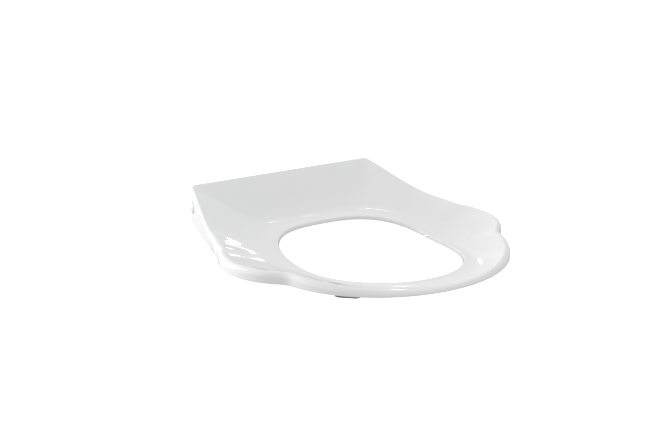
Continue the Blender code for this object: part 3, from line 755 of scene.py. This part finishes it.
def build_base(word, x):
    """Round base plate with a spigot for the post and a counterbore for the fixing screw."""
    low, spigot_top = span(f"hinge_base_{word}", 2)
    outer = half_width(f"hinge_base_{word}")
    top = low + BASE_THICKNESS
    hole = SHANK_RADIUS + GAP
    profile = [(WELL_RADIUS, spigot_top), (SPIGOT_RADIUS, spigot_top), (SPIGOT_RADIUS, top), (outer, top)]
    profile += [(outer, low), (hole, low), (hole, FIXING_HEAD_SEAT), (WELL_RADIUS, FIXING_HEAD_SEAT)]
    base = turned("base", rounded(profile + [profile[0]], 0.0011)[:-1], turned_steel, 96, (x, 0, 0))
    fit_out(base, f"hinge_base_{word}", "root")
    return top


def build_post(word, x, foot):
    """Pillar that slips over the base's spigot, flowing into the eye for the rod's bushes."""
    low = foot + GAP
    socket = SPIGOT_RADIUS + GAP
    socket_top = span(f"hinge_base_{word}", 2)[1] + GAP
    waist = POST_RADIUS - 0.0015
    top = HINGE.z - 0.0015
    profile = [(0, top), (waist, top), (waist, 0.022), (POST_RADIUS, 0.018), (POST_RADIUS, low)]
    profile += [(socket, low), (socket, socket_top), (0, socket_top)]
    post = turned("post", rounded(profile, 0.0008), turned_steel, 80, (x, 0, 0))
    half = EYE_HALF_LENGTH
    eye = [(0, half), (EYE_RADIUS, half), (EYE_RADIUS, -half), (0, -half)]
    place = (x, 0, HINGE.z)
    boolean(post, [turned("eye", rounded(eye, 0.0009), steel, 88, place, "X")], "UNION")
    grub_hole = moved(bore(GRUB_RADIUS + GAP, 0.004, 0.012, steps=30), grub_place(x))
    cuts = [bore(BUSH_RADIUS + GAP, -half - BEYOND, half + BEYOND, 60, place, "X"), grub_hole]
    boolean(post, cuts, "DIFFERENCE")
    fit_out(smooth_shade(post, 34), f"hinge_post_{word}", "root")


def grub_place(x):
    """From upright on the fixing's axis to lying towards the back, at the grub screw's height."""
    return Matrix.Translation((x, 0, GRUB_HEIGHT)) @ Matrix.Rotation(math.radians(-90), 4, "X")


def build_grub(word, x):
    """A grub screw with a tapered tip and a hexagon socket."""
    profile = [(0, GRUB_TO), (GRUB_RADIUS, GRUB_TO), (GRUB_RADIUS, GRUB_FROM + 0.0006)]
    profile += [(GRUB_RADIUS * 0.6, GRUB_FROM), (0, GRUB_FROM)]
    grub = turned("grub", rounded(profile, 0.0003), turned_steel, 40)
    boolean(grub, [hexagon(GRUB_RADIUS / 2, GRUB_TO - 0.0010, GRUB_TO + 0.0006)], "DIFFERENCE")
    moved(grub, grub_place(x))
    fit_out(smooth_shade(grub, 34), f"grub_screw_{word}", "root")


def hexagon(radius, low, high):
    corners = [math.radians(a) for a in range(0, 360, 60)]
    outline = [(radius * math.cos(a), radius * math.sin(a)) for a in corners]
    return prism("hexagon", outline, low, high, steel)


def build_fixing(word, x):
    """Fixing screw with a hexagon socket and a thread for the plug's nut."""
    low, top = span(f"fixing_screw_{word}", 2)
    seat = FIXING_HEAD_SEAT + GAP
    profile = [(0, top), (FIXING_HEAD_RADIUS, top), (FIXING_HEAD_RADIUS, seat), (0, seat)]
    head = turned("head", rounded(profile, 0.0005), turned_steel, 56)
    boolean(head, [hexagon(0.0022, top - 0.0020, top + BEYOND)], "DIFFERENCE")
    shank = threaded("shank", SHANK_RADIUS, 0.0004, 0.0010, low, seat + 0.0005, turned_steel)
    boolean(head, [shank], "UNION")
    moved(head, Matrix.Translation((x, 0, 0)))
    fit_out(smooth_shade(head, 40), f"fixing_screw_{word}", "root")


def build_plug(word, x):
    """A ribbed expanding plug, with the nut that the fixing screw draws up into it."""
    inner = SHANK_RADIUS + GAP
    low, high = span(f"expansion_plug_{word}", 2)
    outer = half_width(f"expansion_plug_{word}")
    nut_low, nut_top = span(f"plug_nut_{word}", 2)
    ceiling = nut_top + GAP
    nut_room = NUT_RADIUS + GAP
    profile = [(inner, high), (outer - 0.0003, high)]
    step = (high - low) / PLUG_RIBS
    for k in range(PLUG_RIBS):
        foot = high - step * (k + 1)
        profile += [(outer, foot + step * 0.45), (outer - 0.0007, foot + step * 0.25)]
        profile.append((outer - 0.0003, foot))
    profile += [(nut_room, low), (nut_room, ceiling), (inner, ceiling)]
    plug = turned("plug", rounded(profile, 0.0003), rubber, 64, (x, 0, 0))
    fit_out(plug, f"expansion_plug_{word}", "root")
    profile = [(inner, nut_top), (NUT_RADIUS, nut_top), (NUT_RADIUS, nut_low)]
    profile += [(inner, nut_low), (inner, nut_top)]
    nut = turned("nut", rounded(profile, 0.0005)[:-1], brass, 6, (x, 0, 0))
    fit_out(nut, f"plug_nut_{word}", "root")


def build_bushes(word, x):
    """A flanged bush in each end of the post's eye, for the rod to turn in."""
    for way, end in ((-1, "a"), (1, "b")):
        face = EYE_HALF_LENGTH + GAP
        outer = face + BUSH_FLANGE
        inner = outer - BUSH_LENGTH
        hole = ROD_RADIUS + GAP
        profile = [(hole, outer), (BUSH_FLANGE_RADIUS, outer), (BUSH_FLANGE_RADIUS, face)]
        profile += [(BUSH_RADIUS, face), (BUSH_RADIUS, inner), (hole, inner)]
        profile = rounded(profile, 0.0003)
        if way < 0:
            profile = mirrored_profile(profile)
        bush = turned("bush", profile, nylon, 64, (x, 0, HINGE.z), "X")
        fit_out(bush, f"rod_bush_{word}_{end}", "root")


build_ring()
build_rod()
for buffer_name, buffer_place in buffer_frames():
    build_buffer(buffer_name, buffer_place)
    build_buffer_screw(buffer_name, buffer_place)
for side_word in ("left", "right"):
    fixing_x = middle(f"fixing_screw_{side_word}").x
    build_gasket(side_word, fixing_x)
    base_top = build_base(side_word, fixing_x)
    build_post(side_word, fixing_x, base_top)
    build_grub(side_word, fixing_x)
    build_fixing(side_word, fixing_x)
    build_plug(side_word, fixing_x)
    build_bushes(side_word, fixing_x)

# ---------------------------------------------------------------- studio

AIM = Vector((-0.0054, -0.1158, 0.0286))
AZIMUTH = -32.08             # 0 is the front, 90 the right
ELEVATION = 17.48
DISTANCE = 1.4956
LENS = 70.06                 # millimetres, on the sensor below
SENSOR_WIDTH = 36.0
FLOOR_HALF = 8.0
FLOOR_DROP = 0.0005          # the floor lies this far under the lowest point
FLOOR_GLOW = 0.88
WORLD_STRENGTH = 0.87
LIGHT_DISTANCE = 2.4

# name: azimuth, elevation, size in metres, power in watts
SOFTBOXES = {
    "back_left": (-135, 30, 1.3, 9.6),
    "back_right": (135, 30, 1.3, 0.7),
    "low_left": (-134, 5.5, 0.5, 34.0),
    "high_lamp": (141.4, 38.7, 0.03, 0.02),
    "low_lamp": (143.9, 13.4, 0.05, 0.06),
}


def look_at(obj, place, target):
    obj.location = place
    obj.rotation_euler = (Vector(target) - Vector(place)).to_track_quat("-Z", "Y").to_euler()


def direction(azimuth, elevation):
    """Unit vector out from the seat: azimuth 0 is the front (-Y) and 90 the right (+X), in degrees."""
    a = math.radians(azimuth)
    e = math.radians(elevation)
    return Vector((math.sin(a) * math.cos(e), -math.cos(a) * math.cos(e), math.sin(e)))


def softbox(name, azimuth, elevation, size, power):
    data = bpy.data.lights.new(name, "AREA")
    data.shape = "SQUARE"
    data.size = size
    data.energy = power
    obj = bpy.data.objects.new(name, data)
    bpy.context.scene.collection.objects.link(obj)
    obj.visible_camera = False
    look_at(obj, AIM + direction(azimuth, elevation) * LIGHT_DISTANCE, AIM)


def floor_plane(height):
    """A pale floor whose own glow lights nothing but itself."""
    mat = surface("studio_floor", ((0.62, 0.62, 0.62), (0.63, 0.63, 0.63)), (0.75, 0.85), 2, 40, 0.0001)
    shader = mat.node_tree.nodes["Principled BSDF"]
    shader.inputs["Emission Color"].default_value = (1, 1, 1, 1)
    shader.inputs["Emission Strength"].default_value = FLOOR_GLOW
    bm = bmesh.new()
    corners = ((-1, -1), (1, -1), (1, 1), (-1, 1))
    bm.faces.new([bm.verts.new((x * FLOOR_HALF, y * FLOOR_HALF, height)) for x, y in corners])
    floor = mesh_object("floor", bm, mat)
    lit_by_glow = bpy.data.collections.new("lit_by_floor_glow")
    lit_by_glow.objects.link(floor)
    floor.light_linking.receiver_collection = lit_by_glow
    return floor


floor_plane(cad_low[2] - FLOOR_DROP)
for box_name, (azimuth, elevation, size, power) in SOFTBOXES.items():
    softbox(box_name, azimuth, elevation, size, power)

world = bpy.data.worlds.new("studio")
world.use_nodes = True
background = world.node_tree.nodes["Background"]
background.inputs["Color"].default_value = (1, 1, 1, 1)
background.inputs["Strength"].default_value = WORLD_STRENGTH
bpy.context.scene.world = world
bpy.context.scene.view_settings.view_transform = "Standard"

camera_data = bpy.data.cameras.new("camera")
camera_data.lens = LENS
camera_data.sensor_width = SENSOR_WIDTH
camera = bpy.data.objects.new("camera", camera_data)
bpy.context.scene.collection.objects.link(camera)
look_at(camera, AIM + direction(AZIMUTH, ELEVATION) * DISTANCE, AIM)
bpy.context.scene.camera = camera
